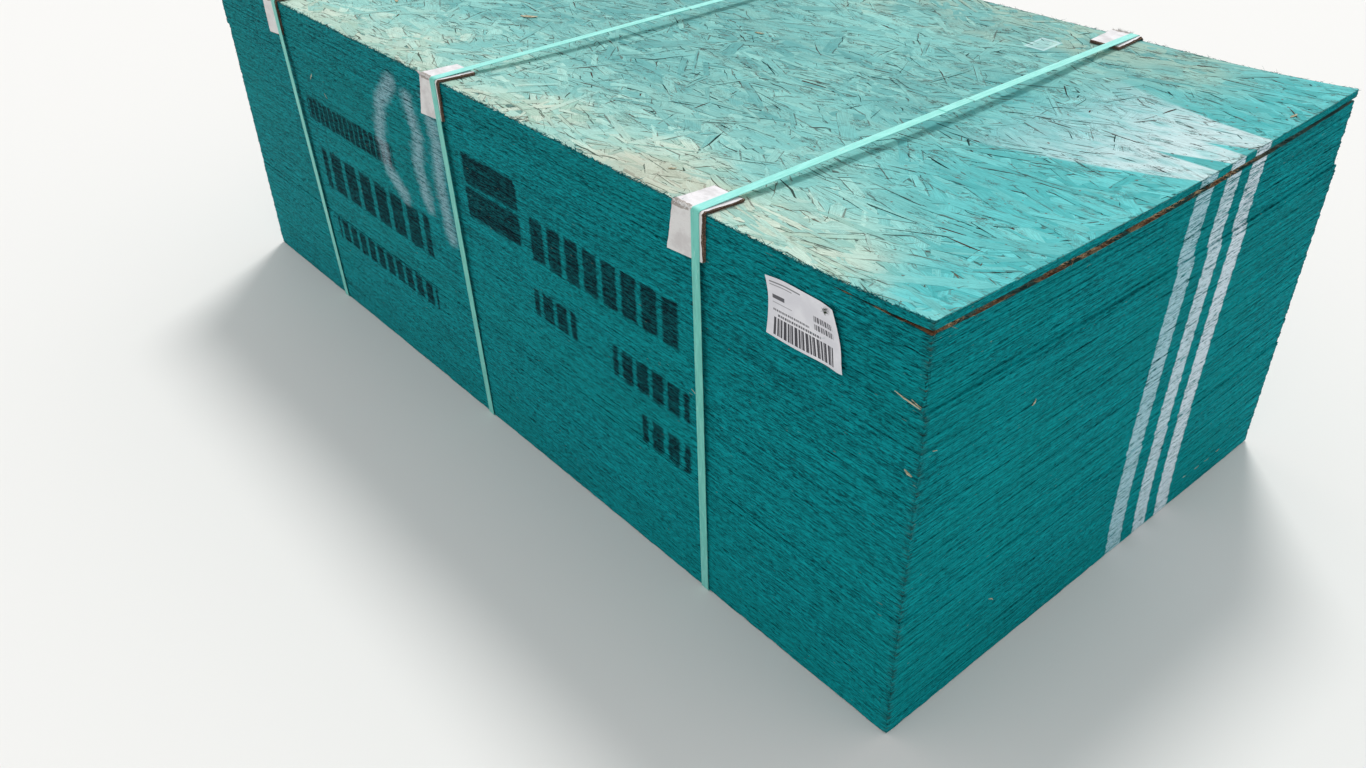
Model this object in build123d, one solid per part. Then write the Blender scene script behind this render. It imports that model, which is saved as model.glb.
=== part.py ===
from build123d import *
import math
import os

# A strapped stack of oriented strand board. Millimetres, +Z up. The origin is on the ground,
# under the middle of the stack; +X runs along the sheets and -Y is the long side with the label.

# The sheet: 4 ft by 8 ft, 7/16 in thick
sheet_length = 2438.4
sheet_width = 1219.2
sheet_thickness = 11.1
lay_gap = 0.22          # air left between two rough faces

# Damp has swollen the rims of the sheets, so the pile is dished: its top sags across the width
pile_sag = 15.0

# Sheets in each lift, from the ground up, and how far the lift was set down off line
lower_count = 23
middle_count = 35
upper_count = 11
lower_shift_x = 3.0
middle_shift_x = 1.5
upper_shift_x = -3.0
lower_shift_y = 1.0
middle_shift_y = 2.5
upper_shift_y = 0.0
end_slip = 1.2          # most that one sheet slips along the stack
side_slip = 0.8         # most that one sheet slips across it

# The top sheet has warped and swollen: its near end curls up and lies straighter than the pile
curl_length = 262.0
curl_rise = 8.0
curl_sag = 11.0
curl_swell = 3.0
curl_steps = 6

# Straps: plastic band, welded into a loop. They lean: each foot stands further along than its top
strap_width = 19.0
strap_thickness = 1.0
strap_left_inset = 397.0    # from the far end of the stack, where it lies on top
strap_middle_x = -50.0
strap_right_inset = 464.0   # from the near end
strap_left_lean = 47.0
strap_middle_lean = 35.0
strap_right_lean = 5.0
strap_bottom_radius = 3.0
strap_foot_radius = 150.0   # where it leaves the foot of a protector
weld_length = 80.0      # the two ends lap on top and are welded there
weld_end_y = 57.0
bite = 2.6              # the strap crushes the lowest arris by this much

# Edge protectors: folded paperboard
protector_thickness = 6.0
protector_radius = 5.0
protector_drop = 97.0
protector_reach = 83.0
protector_right = 20.0  # from the strap's middle to the straight edge
protector_left = 52.0   # from the strap's middle to the other edge, at the fold
protector_flare = 20.0  # how much further that edge stands out at the foot

# Paper label
label_length = 168.0
label_height = 102.0
label_thickness = 0.4
label_inset = 227.0     # from the near end to the label's middle
label_drop = 43.0       # from the top of the stack to the label's upper edge
label_lift = 4.0        # its two ends curl away from the boards

# Clearances
seat = 0.3              # loose pieces against what they lie on
bearing = 0.1           # lowest sheet on its straps

pile_count = lower_count + middle_count + upper_count
sag_step = pile_sag / pile_count
pitch = sheet_thickness + lay_gap + sag_step    # from rim to rim
pile_bottom = strap_thickness + bearing
top_sheet_bottom = pile_bottom + pile_count * pitch
stack_top = top_sheet_bottom + sheet_thickness
front = -1
back = 1
strap_left_x = strap_left_inset - sheet_length / 2
strap_right_x = sheet_length / 2 - strap_right_inset
label_middle_x = sheet_length / 2 - label_inset
strap_places = {
    "left": (strap_left_x, strap_left_lean),
    "middle": (strap_middle_x, strap_middle_lean),
    "right": (strap_right_x, strap_right_lean),
}


def slip(index):
    """Small in-plane slip of one sheet; neighbours never slip alike."""
    along = end_slip * math.sin(2.4 * index)
    across = side_slip * math.sin(1.7 * index + 0.9)
    return along, across


def lift_reach(side):
    """Furthest that any sheet's long edge stands from the middle plane, on one side."""
    shifts = (lower_shift_y, middle_shift_y, upper_shift_y)
    return sheet_width / 2 + side_slip + max(side * shift for shift in shifts)


def upper_reach(side):
    """The same for the upper lift alone, which carries the protectors and the label."""
    return sheet_width / 2 + side_slip + side * upper_shift_y


def prism(outline, plane, depth):
    """A closed outline in one plane, thickened by depth to both sides."""
    return extrude(plane * make_face(outline), depth / 2, both=True)


def strap_bite(x, side, sheet_edge):
    """The corner of the lowest sheet that a strap has crushed."""
    corner = (sheet_edge, pile_bottom)
    inward = (sheet_edge - side * bite, pile_bottom)
    upward = (sheet_edge, pile_bottom + bite)
    triangle = Polyline(corner, inward, upward, close=True)
    return prism(triangle, Plane.YZ.offset(x), strap_width + 2 * seat)


def sheet_section(x, rim, sag, swell=0.0):
    """Outline of a sheet cut across at x: its rim stands at one height and its middle hangs lower."""
    half = sheet_width / 2
    top = rim + sheet_thickness + swell
    if sag > 0:
        under = ThreePointArc((-half, rim), (0, rim - sag), (half, rim))
        over = ThreePointArc((-half, top), (0, top - sag), (half, top))
    else:
        under = Line((-half, rim), (half, rim))
        over = Line((-half, top), (half, top))
    outline = Wire([under, Line((half, rim), (half, top)), over, Line((-half, top), (-half, rim))])
    return Plane.YZ.offset(x) * make_face(outline)


def sheet(index, shift_x, shift_y):
    """One board of the pile, counted from the ground."""
    along, across = slip(index)
    left_end = shift_x + along - sheet_length / 2
    section = sheet_section(left_end, pile_bottom + index * pitch, index * sag_step)
    board = Pos(0, shift_y + across, 0) * extrude(section, sheet_length)
    if index == 0:
        for strap_x, lean in strap_places.values():
            for side in (front, back):
                board -= strap_bite(strap_x + lean, side, shift_y + across + side * sheet_width / 2)
    return board


def lift(first, count, shift_x, shift_y):
    """The sheets that were set down together."""
    sheets = [sheet(first + number, shift_x, shift_y) for number in range(count)]
    return Compound(children=sheets)


def warped_sheet():
    """The top board: it follows the pile, then bends up and thickens towards its near end."""
    along, across = slip(pile_count)
    left_end = upper_shift_x + along - sheet_length / 2
    bend = left_end + sheet_length - curl_length
    sections = [sheet_section(left_end, top_sheet_bottom, pile_sag)]
    for step in range(curl_steps + 1):
        share = step / curl_steps
        rim = top_sheet_bottom + curl_rise * share ** 2
        sag = pile_sag + (curl_sag - pile_sag) * share ** 2
        swell = curl_swell * share
        sections.append(sheet_section(bend + curl_length * share, rim, sag, swell))
    return Pos(0, upper_shift_y + across, 0) * loft(sections, ruled=True)


def protector_face(side):
    """Distance of a protector's outer face from the middle plane."""
    return upper_reach(side) + seat + protector_thickness


def protector_slope():
    """Fall of the top sheet from its rim to the tip of a protector's flap."""
    return pile_sag * (1 - (1 - 2 * protector_reach / sheet_width) ** 2)


def protector(x, side):
    """Paperboard folded over the top long edge: a tapered flap down the side, one on top."""
    inner_y = side * (upper_reach(side) + seat)
    outer_y = side * protector_face(side)
    inner_z = stack_top + seat
    outer_z = inner_z + protector_thickness
    tip_y = inner_y - side * protector_reach
    fall = protector_slope()
    foot_z = stack_top - protector_drop
    angle = Polyline(
        (inner_y, inner_z), (tip_y, inner_z - fall), (tip_y, outer_z - fall),
        (outer_y, outer_z), (outer_y, foot_z), (inner_y, foot_z), close=True,
    )
    widest = 2 * (protector_left + protector_flare)
    blank = prism(angle, Plane.YZ.offset(x), widest)
    outermost = lambda edge: side * edge.center().Y + edge.center().Z
    fold = blank.edges().filter_by(Axis.X).sort_by(outermost)[-1]
    blank = fillet(fold, protector_radius)
    over_top = outer_z + protector_thickness
    shape = Polyline(
        (x + protector_right, over_top), (x - protector_left, over_top), (x - protector_left, stack_top),
        (x - protector_left - protector_flare, foot_z), (x + protector_right, foot_z), close=True,
    )
    return blank & prism(shape, Plane.XZ, 2 * protector_face(back) + sheet_width)


def strap_over():
    """Height of the inside of a strap where it runs over the stack."""
    return stack_top + seat + protector_thickness + seat


def strap_inner_points():
    """Corners and radii of the line that the inside of a strap follows, seen along the stack."""
    foot_z = stack_top - protector_drop
    points = []
    radii = []
    for side in (front, back):
        bottom = side * (lift_reach(side) + seat)
        face = side * (protector_face(side) + seat)
        run = [(bottom, strap_thickness), (face, foot_z), (face, strap_over())]
        turns = [strap_bottom_radius, strap_foot_radius, protector_radius + seat]
        if side == back:
            run.reverse()
            turns.reverse()
        points += run
        radii += turns
    return points, radii


def strap(x, lean):
    """One closed loop of band over two protectors, drawn on a leaning plane; its ends lap on top."""
    slope = lean / strap_over()
    stretch = math.hypot(1, slope)
    leaning = Plane(origin=(x + lean, 0, 0), x_dir=(0, 1, 0), z_dir=(1, 0, slope))
    points, radii = strap_inner_points()
    stretched = [(y, z * stretch) for y, z in points]
    inside = make_face(FilletPolyline(*stretched, radius=radii, close=True))
    outside = offset(inside, strap_thickness, kind=Kind.ARC)
    lap_y = weld_end_y - weld_length / 2
    lap_z = strap_over() * stretch + 1.5 * strap_thickness
    lap = Pos(lap_y, lap_z) * Rectangle(weld_length, strap_thickness)
    outline = leaning * (outside - inside + lap)
    return extrude(outline, strap_width / 2, dir=(1, 0, 0), both=True)


def label():
    """A paper label held at its middle, whose ends curl off the boards."""
    half = label_length / 2
    radius = (half ** 2 + label_lift ** 2) / (2 * label_lift)
    angle = math.degrees(math.asin(half / radius))
    y_face = -(upper_reach(front) + seat)
    centre = (label_middle_x, y_face - radius)
    against = CenterArc(centre, radius, 90 - angle, 2 * angle)
    outer = CenterArc(centre, radius - label_thickness, 90 - angle, 2 * angle)
    outline = Wire([against, Line(against @ 1, outer @ 1), outer, Line(outer @ 0, against @ 0)])
    z_high = stack_top - label_drop
    return extrude(Plane.XY.offset(z_high - label_height) * make_face(outline), label_height)


nodes = {
    "lower_panels": lift(0, lower_count, lower_shift_x, lower_shift_y),
    "middle_panels": lift(lower_count, middle_count, middle_shift_x, middle_shift_y),
    "upper_panels": lift(lower_count + middle_count, upper_count, upper_shift_x, upper_shift_y),
    "top_panel": warped_sheet(),
    "label": label(),
}
for place, (strap_x, lean) in strap_places.items():
    nodes[f"strap_{place}"] = strap(strap_x, lean)
    nodes[f"protector_front_{place}"] = protector(strap_x, front)
    nodes[f"protector_back_{place}"] = protector(strap_x, back)

os.makedirs("parts", exist_ok=True)
for name, shape in nodes.items():
    export_step(shape, f"parts/{name}.step")
    size = shape.bounding_box().size
    print(f"{name}: {size.X:.1f} x {size.Y:.1f} x {size.Z:.1f} mm")
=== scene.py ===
# %% [markdown]
# # A strapped stack of oriented strand board
#
# The object is one unit of building board: seventy sheets of pressed wood strands, laid on each
# other, with their edges sprayed teal. Three plastic straps hold them over folded paperboard
# corners, and a paper label is stapled to the long side.
#
# The measured model is already there. Here it is only dressed: every sheet gets a torn, fibrous
# edge, the top gets its strands, and each surface gets its finish. Blender counts in metres, so
# a value in millimetres is multiplied by `MM`.

# %% Open the measured model
import math

import bmesh
import bpy
import numpy as np
from mathutils import Matrix, Vector
from mathutils.bvhtree import BVHTree


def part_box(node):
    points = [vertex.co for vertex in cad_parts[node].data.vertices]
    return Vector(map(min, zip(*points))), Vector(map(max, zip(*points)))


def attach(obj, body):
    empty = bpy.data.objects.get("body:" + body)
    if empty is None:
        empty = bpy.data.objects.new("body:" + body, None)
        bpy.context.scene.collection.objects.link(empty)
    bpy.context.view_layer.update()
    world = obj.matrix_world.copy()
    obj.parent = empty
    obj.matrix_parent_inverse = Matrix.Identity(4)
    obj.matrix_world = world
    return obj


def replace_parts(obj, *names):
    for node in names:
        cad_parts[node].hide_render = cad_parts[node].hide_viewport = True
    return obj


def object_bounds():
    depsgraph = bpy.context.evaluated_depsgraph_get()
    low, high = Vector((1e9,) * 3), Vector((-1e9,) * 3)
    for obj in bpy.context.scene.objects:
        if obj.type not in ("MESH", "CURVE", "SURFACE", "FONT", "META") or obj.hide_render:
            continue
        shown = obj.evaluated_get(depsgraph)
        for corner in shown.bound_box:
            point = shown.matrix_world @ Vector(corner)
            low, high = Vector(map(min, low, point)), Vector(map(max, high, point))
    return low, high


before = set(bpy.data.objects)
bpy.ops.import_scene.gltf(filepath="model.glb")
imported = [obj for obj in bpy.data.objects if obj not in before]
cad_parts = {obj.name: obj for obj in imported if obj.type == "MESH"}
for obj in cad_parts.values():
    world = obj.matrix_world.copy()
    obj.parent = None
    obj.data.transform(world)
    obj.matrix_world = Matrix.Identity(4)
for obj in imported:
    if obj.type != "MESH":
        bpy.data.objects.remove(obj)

MM = 0.001
measured_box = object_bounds()
print("nodes:", ", ".join(sorted(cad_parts)))
print("measured box:", [tuple(round(v, 4) for v in corner) for corner in measured_box])

# %% [markdown]
# ## Camera
#
# A photograph has a viewpoint, an aim, a small roll and a field of view. These four were worked
# out once, from the corners of the stack, by asking where a camera must stand for a box of this
# size to show its corners where the picture has them. Blender's camera looks along its own -Z,
# so `to_track_quat` turns it to the aim, and the roll is a last turn about its own axis.

# %% Set up the camera
camera_place = Vector((1.9481, -1.6300, 1.5762))
camera_aim = Vector((0.6410, -0.5557, 0.4000))
camera_roll = math.radians(-1.5)
film_width = 36.0
focal_length = 29.412

lens = bpy.data.cameras.new("camera")
lens.sensor_fit = "HORIZONTAL"
lens.sensor_width = film_width
lens.lens = focal_length
lens.clip_end = 60.0
camera = bpy.data.objects.new("camera", lens)
turn = (camera_aim - camera_place).to_track_quat("-Z", "Y").to_matrix().to_4x4()
camera.matrix_world = Matrix.Translation(camera_place) @ turn @ Matrix.Rotation(camera_roll, 4, "Z")
bpy.context.scene.collection.objects.link(camera)
bpy.context.scene.camera = camera
view_angle = 2 * math.degrees(math.atan(film_width / 2 / focal_length))
print(f"camera: {view_angle:.1f} degrees wide")

# %% [markdown]
# ## Floor and light
#
# A studio gives soft light from everywhere and a little more from one side. The sky colour does
# the first part. A sun lamp with a wide disc does the second: it stands high behind the stack, so
# the top is the brightest face and both near sides lie in open shade, as they do outdoors.
# The sky is shown white to the camera and to reflections, through Light Path, and lights the
# object at a lower level. The floor is plain and pale and takes the stack's shadow.

# %% Lay the floor and light it
def put_in_scene(name, mesh):
    """Give a mesh an object in the scene."""
    made = bpy.data.objects.new(name, mesh)
    bpy.context.scene.collection.objects.link(made)
    return made


reach = 16.0
floor_mesh = bpy.data.meshes.new("floor")
floor_corners = [(-reach, -reach, 0), (reach, -reach, 0), (reach, reach, 0), (-reach, reach, 0)]
floor_mesh.from_pydata(floor_corners, [], [(0, 1, 2, 3)])
floor = put_in_scene("floor", floor_mesh)
floor_paint = bpy.data.materials.new("floor paint")
floor_paint.use_nodes = True
floor_shader = floor_paint.node_tree.nodes["Principled BSDF"]
floor_shader.inputs["Base Color"].default_value = (0.80, 0.80, 0.79, 1)
floor_shader.inputs["Roughness"].default_value = 0.9
floor_mesh.materials.append(floor_paint)

sun = bpy.data.lights.new("key light", "SUN")
sun.energy = 1.75
sun.angle = math.radians(14)
sun.color = (1.0, 0.985, 0.96)
sun_object = put_in_scene("key light", sun)
sun_object.rotation_mode = "QUATERNION"
sun_object.rotation_quaternion = Vector((-0.42, 0.55, 1.0)).to_track_quat("Z", "Y")

sky_level = 0.72
sky = bpy.data.worlds.new("studio")
sky.use_nodes = True
bpy.context.scene.world = sky
sky_nodes, sky_links = sky.node_tree.nodes, sky.node_tree.links
seen_by = sky_nodes.new("ShaderNodeLightPath")
direct = sky_nodes.new("ShaderNodeMath")
direct.operation = "MAXIMUM"
sky_links.new(seen_by.outputs["Is Camera Ray"], direct.inputs[0])
sky_links.new(seen_by.outputs["Is Glossy Ray"], direct.inputs[1])
level = sky_nodes.new("ShaderNodeMapRange")
level.inputs["To Min"].default_value = sky_level
level.inputs["To Max"].default_value = 1.0
sky_links.new(direct.outputs[0], level.inputs["Value"])
sky_nodes["Background"].inputs["Color"].default_value = (1, 1, 1, 1)
sky_links.new(level.outputs[0], sky_nodes["Background"].inputs["Strength"])
bpy.context.scene.view_settings.view_transform = "Standard"
print(f"light: sky {sky_level}, sun {sun.energy}")

# %% [markdown]
# ## A way to mix finishes
#
# A finish is a small network of nodes: noise for the fibres, masks for the paint, colours mixed
# by those masks. Written out node by node it would fill pages, so two classes keep the few moves
# that every finish needs. A `Value` is what comes out of a node, and Python's own signs on it add
# the next node: `a * b` makes a Multiply node. A `Finish` is the material that they belong to.
# All noise works in the object's own coordinates, which stay with it when the camera moves.

# %% Let values be added and multiplied
class Value:
    """What comes out of a node."""

    def __init__(self, finish, socket):
        self.finish, self.socket = finish, socket

    def math(self, operation, *others):
        return self.finish.math(operation, self, *others)

    def __add__(self, other):
        return self.math("ADD", other)

    def __sub__(self, other):
        return self.math("SUBTRACT", other)

    def __rsub__(self, other):
        return self.finish.math("SUBTRACT", other, self)

    def __mul__(self, other):
        return self.math("MULTIPLY", other)

    def __truediv__(self, other):
        return self.math("DIVIDE", other)

    def __abs__(self):
        return self.math("ABSOLUTE")

    def step(self, low, high, start=0.0, end=1.0):
        """A soft step from start to end, while the value goes from low to high."""
        return self.finish.node(
            "ShaderNodeMapRange", self, low, high, start, end, interpolation_type="SMOOTHSTEP")


# %% [markdown]
# A finish starts as Blender's own Principled material. `grain` is noise stretched along the
# fibres, `mix` lays one colour over another where a mask says so, `kept` reads a value that is
# stored on the mesh, and `relief` makes raised and sunk places.

# %% Write the finish
class Finish:
    """A material being mixed. Each call adds nodes and gives back what comes out of the last."""

    def __init__(self, name, roughness, shine=0.5):
        self.material = bpy.data.materials.new(name)
        self.material.use_nodes = True
        self.nodes = self.material.node_tree.nodes
        self.links = self.material.node_tree.links
        self.shader = self.nodes["Principled BSDF"]
        self.shader.inputs["Roughness"].default_value = roughness
        self.shader.inputs["Specular IOR Level"].default_value = shine
        self.place = self.node("ShaderNodeTexCoord", out="Object")
        self.x, self.y, self.z = self.split(self.place)

    def plug(self, socket, value):
        if isinstance(value, Value):
            self.links.new(value.socket, socket)
        elif value is not None:
            socket.default_value = value

    def node(self, kind, *inputs, out=0, **settings):
        made = self.nodes.new(kind)
        for key, value in settings.items():
            setattr(made, key, value)
        for socket, value in zip(made.inputs, inputs):
            self.plug(socket, value)
        return Value(self, made.outputs[out])

    def math(self, operation, *values):
        return self.node("ShaderNodeMath", *values, operation=operation)

    def vector(self, operation, first, second=None):
        out = "Value" if operation == "LENGTH" else "Vector"
        made = self.node("ShaderNodeVectorMath", first, operation=operation, out=out)
        self.plug(made.socket.node.inputs["Scale" if operation == "SCALE" else 1], second)
        return made

    def split(self, vector):
        parts = self.node("ShaderNodeSeparateXYZ", vector).socket.node.outputs
        return [Value(self, part) for part in parts]

    def grain(self, sizes, detail=3.0, rough=0.6, shift=0.0, place=None, bend=0.0):
        """Noise whose blobs are about so many millimetres long along x, y and z."""
        scales = [1.0 / (size * MM) for size in sizes]
        shifts = (shift, shift, shift)
        stretched = self.node("ShaderNodeMapping", place or self.place, shifts, (0, 0, 0), scales)
        noise = self.node("ShaderNodeTexNoise")
        settings = {"Vector": stretched, "Scale": 1.0, "Detail": detail, "Roughness": rough, "Distortion": bend}
        for name, value in settings.items():
            self.plug(noise.socket.node.inputs[name], value)
        return noise

    def mix(self, share, first, second, way="MIX"):
        """Two colours mixed: share of the second over the first."""
        made = self.node("ShaderNodeMix", share, data_type="RGBA", blend_type=way, out=2)
        for place, colour in ((6, first), (7, second)):
            self.plug(made.socket.node.inputs[place], (*colour, 1) if isinstance(colour, tuple) else colour)
        return made

    def kept(self, name, out="Fac"):
        """A value that was stored on the mesh, point by point."""
        return self.node("ShaderNodeAttribute", attribute_name=name, out=out)

    def relief(self, height, depth, strength):
        """Raised and sunk places, as deep as so many millimetres, without more points."""
        made = self.node("ShaderNodeBump")
        for name, value in {"Strength": strength, "Distance": depth * MM, "Height": height}.items():
            self.plug(made.socket.node.inputs[name], value)
        return made

    def done(self, colour, normal=None):
        self.plug(self.shader.inputs["Base Color"], colour)
        self.plug(self.shader.inputs["Normal"], normal)
        return self.material


# %% [markdown]
# ## The bare board
#
# Inside the stack the sheets are not painted. Their faces are pressed strands of aspen and pine
# that rain has turned rust brown. They show only in the gap under the warped top sheet, on the
# undersides and where an arris has broken off. Here and there the spray got into that gap, and
# towards its back end all of it is teal.

# %% Mix the bare board
bare = Finish("bare strands", 0.9, 0.15)
across_grain = bare.grain((26, 3.2, 6), detail=4)
patches = bare.grain((14, 34, 5), shift=3.1)
rust = bare.mix(across_grain.step(0.36, 0.66), (0.120, 0.060, 0.036), (0.36, 0.200, 0.110))
rust = bare.mix(patches.step(0.47, 0.56, 0, 0.9), rust, (0.50, 0.37, 0.22))
rust = bare.mix(patches.step(0.46, 0.30, 0, 0.8), rust, (0.085, 0.032, 0.016))
sprayed_in = bare.grain((52, 44, 12), shift=6.2).step(0.50, 0.56, 0, 0.88)
sprayed_in = sprayed_in.math("MAXIMUM", bare.y.step(0.14, 0.34, 0, 0.82))
rust = bare.mix(sprayed_in, rust, (0.004, 0.095, 0.100))
bare_board = bare.done(rust, bare.relief(across_grain, 0.8, 0.6))
print("bare board:", len(bare.nodes), "nodes")

# %% [markdown]
# ## The sprayed edges
#
# Each unit has its four sides sprayed to seal the cut edges of the sheets, which is why the whole
# side is one colour though it is made of seventy edges. The paint lies on cut fibre: it is
# streaky along the sheets, painted darker as shade in the holes where fibres are torn out and in
# the seams, and brown where the arris broke after spraying. Towards the top the sides are painted
# a little darker, as shade. Over it come three white stripes on the near end, and on the long side
# dark stencilled bars and a few strokes of chalk.
#
# A picture wrapped round the stack could carry all this. Noise and masks are used instead: they
# need no file, are as sharp from near as from afar, and each one can be tuned by itself.

# %% Mix the edge paint
front_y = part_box("upper_panels")[0][1]
near_end_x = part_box("middle_panels")[1][0]
far_end_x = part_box("middle_panels")[0][0]
curl_above_pile = 6 * MM
stack_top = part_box("top_panel")[1][2] - curl_above_pile

paint = Finish("sprayed edge paint", 0.9, 0.04)
streaks = paint.grain((170, 170, 2.3), detail=4, rough=0.62)
fibres = paint.grain((12, 12, 2.1), detail=4, rough=0.75, shift=5.0)
broad = paint.grain((420, 420, 160), detail=2, shift=9.0)
sheet_tone, recess, broken = (paint.kept(name) for name in ("tone", "recess", "broken"))
on_long_side = abs(paint.y).step(0.595, 0.602)

fibre_share = on_long_side.step(0, 1, 0.52, 0.66)
texture = paint.node(
    "ShaderNodeMapRange", fibre_share, 0, 1, streaks.step(0.385, 0.605), fibres.step(0.37, 0.58))
teal = paint.mix(texture, (0.0004, 0.042, 0.050), (0.0040, 0.395, 0.435))
teal = paint.mix(broad.step(0.35, 0.65, 0, 0.30), teal, (0.002, 0.285, 0.285))
teal = paint.mix(sheet_tone * 0.22, teal, (0.001, 0.150, 0.170))
dust = on_long_side * paint.x.step(1.1, -1.2, 0.01, 0.09)
teal = paint.mix(dust, teal, (0.130, 0.200, 0.190))
# Painted shade and light: the teal darkens towards the top of the sides, and the long side is a little lighter
# near the ground.
teal = paint.mix(paint.z.step(0.25, 0.80, 0.0, 0.12), teal, (0.001, 0.060, 0.065))
teal = paint.mix(on_long_side * paint.z.step(0.35, 0.08, 0.0, 0.09), teal, (0.006, 0.400, 0.440))
# Painted shade: dark specks on the long side stand for the holes where fibres are torn out.
pit_shade = paint.grain((15, 15, 1.8), shift=2.0).step(0.55, 0.66, 0, 0.85)
teal = paint.mix(pit_shade * on_long_side.step(0, 1, 0.40, 0.95), teal, (0.0008, 0.022, 0.027))
print("teal:", len(paint.nodes), "nodes so far")

# %% [markdown]
# A stencil mark is a rectangle cut into upright bars. The node network measures how far a point
# is outside the rectangle and outside its nearest bar and takes the larger of the two. The
# smallest of those distances gives all the marks together. A soft step on it makes the sprayed
# rim, and the fibre noise breaks it up.

# %% Spray the stencilled bars
def from_left(distance):
    """Place along the long side, from its left end in millimetres."""
    return far_end_x + distance * MM


def below_top(distance):
    return stack_top - distance * MM


round_corner = 0.005


def outside_bars(place, left, right, high, low, pitch, fill):
    """Distance outside a row of upright bars on the long side, in metres."""
    middle = ((from_left(left) + from_left(right)) / 2, 0, (below_top(high) + below_top(low)) / 2)
    half = ((right - left) / 2 * MM, 1, (low - high) / 2 * MM)
    from_middle = paint.vector("SUBTRACT", place, middle)
    away = paint.vector("SUBTRACT", paint.vector("ABSOLUTE", from_middle), half)
    away = paint.vector("ADD", away, (round_corner, -1, round_corner))
    off_row = paint.vector("LENGTH", paint.vector("MAXIMUM", away, (0.0, 0.0, 0.0))) - round_corner
    if not pitch:
        return off_row
    along_bars = (paint.split(from_middle)[0] / (pitch * MM)).math("FRACT")
    return off_row.math("MAXIMUM", (abs(along_bars - 0.5) - fill / 2) * (pitch * MM))


# Left, right, upper and lower edge, pitch of the bars (0 for a solid block) and filled share
rows_of_bars = [
    (461, 906, 218, 278, 27, 0.78), (486, 1034, 350, 456, 79, 0.72), (500, 1022, 542, 600, 49, 0.66),
    (1236, 1432, 128, 196, 0, 1), (1236, 1432, 206, 272, 0, 1), (1462, 1930, 192, 284, 58, 0.70),
    (1462, 1606, 354, 414, 48, 0.68), (1724, 1946, 366, 430, 45, 0.68), (1806, 1946, 482, 544, 47, 0.66),
]
wobble = paint.grain((26, 26, 9), shift=1.4)
sideways = paint.node("ShaderNodeCombineXYZ", wobble, 0.0, wobble)
wavering = paint.vector("ADD", paint.place, paint.vector("SCALE", sideways, 0.016))
outside = outside_bars(wavering, *rows_of_bars[0])
for row_of_bars in rows_of_bars[1:]:
    outside = outside.math("MINIMUM", outside_bars(wavering, *row_of_bars))
front_only = paint.y.step(-0.595, -0.602)
stencil = outside.step(0.0050, -0.0030) * front_only * texture.step(0.25, 0.95, 1.0, 0.66)
painted = paint.mix(stencil, teal, (0.0030, 0.012, 0.018))
print("stencil:", len(rows_of_bars), "rows of bars")

# %% [markdown]
# The stripes were sprayed down the near end with the sheets already stacked. Since then the
# sheets have slipped a little, so every sheet carries its piece of stripe slightly off line.
# A value stored on the mesh, the same all over one sheet, gives that slip. The white doesn't
# reach into the seams, so each stripe is crossed by a dark line at every sheet. From a height of
# 20 cm the stripes bend away, a little upwards and more downwards.

# %% Spray the three stripes
bend_height = 0.2
up = (paint.z - bend_height).math("MAXIMUM", 0.0)
down = (bend_height - paint.z).math("MAXIMUM", 0.0)
lean = up * up * -0.064 + down * down * -0.42
edge_noise = (paint.grain((60, 40, 1.8), shift=7.0) - 0.5) * 0.004
stripe_y = paint.y + lean + (paint.kept("slip") + edge_noise)
near_end_only = paint.x.step(near_end_x - 0.030, near_end_x - 0.012)
on_high_fibres = texture.step(0.08, 0.60, 0.10, 0.98)
outside_seams = recess.step(0.04, 0.45, 1.0, 0.25)
soft = 1.8 * MM
# Millimetres from the front corner, width and white of each
stripes = [(668, 52, (0.42, 0.66, 0.74)), (761, 46, (0.62, 0.78, 0.86)), (845, 49, (0.70, 0.82, 0.90))]
for centre, width, white in stripes:
    off_line = abs(stripe_y - (front_y + centre * MM))
    stripe = off_line.step(width / 2 * MM + soft, width / 2 * MM - soft)
    painted = paint.mix(stripe * near_end_only * on_high_fibres * outside_seams, painted, white)
chalk = paint.kept("chalk") * texture.step(0.25, 0.60, 0.30, 1.0)
painted = paint.mix(chalk * 0.60, painted, (0.42, 0.60, 0.68))
print("stripes:", len(stripes))

# %% [markdown]
# The arris is where an edge breaks first, and strands are torn out there long after the spraying.
# The values `recess` and `broken` come from the mesh, so the bare wood lies where its points were
# really pushed in. That looks truer than noise alone, which would not know where the seams are.

# %% Break the paint on arrises and corners
torn = paint.grain((22, 22, 3), shift=11.0).step(0.45, 0.62)
bare_fibre = paint.mix(fibres.step(0.4, 0.66), (0.008, 0.026, 0.024), (0.060, 0.075, 0.052))
# Painted shade: the deeper a point of the rim lies, the darker its teal, so the seams between the sheets are
# darkened.
seam = recess.step(0.25, 1.0) * on_long_side.step(0, 1, 0.32, 0.80)
painted = paint.mix(seam, painted, (0.0008, 0.035, 0.040))
painted = paint.mix(broken * torn * 0.8, painted, bare_fibre)
flecks = paint.grain((17, 17, 2.4), detail=1, shift=21.0).step(0.77, 0.80)
painted = paint.mix(flecks * 0.7, painted, (0.22, 0.24, 0.17))
edge_paint = paint.done(painted, paint.relief(texture, 0.8, 0.6))
print("edge paint:", len(paint.nodes), "nodes")

# %% [markdown]
# ## The sheets
#
# The measured model has every sheet as a clean board. The real ones have chewed edges: strands
# are torn out, the arrises are broken, and between two sheets there is a dark seam. Bump alone
# would leave the seams flat, so each rim is built again as a band of short quads in five rows.
# The rows at the arrises lie deeper, and every point is moved in or out a little.
#
# First the boards are read back from the model: where their ends and sides are, how high the rim
# lies and how far the middle hangs below it.

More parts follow.
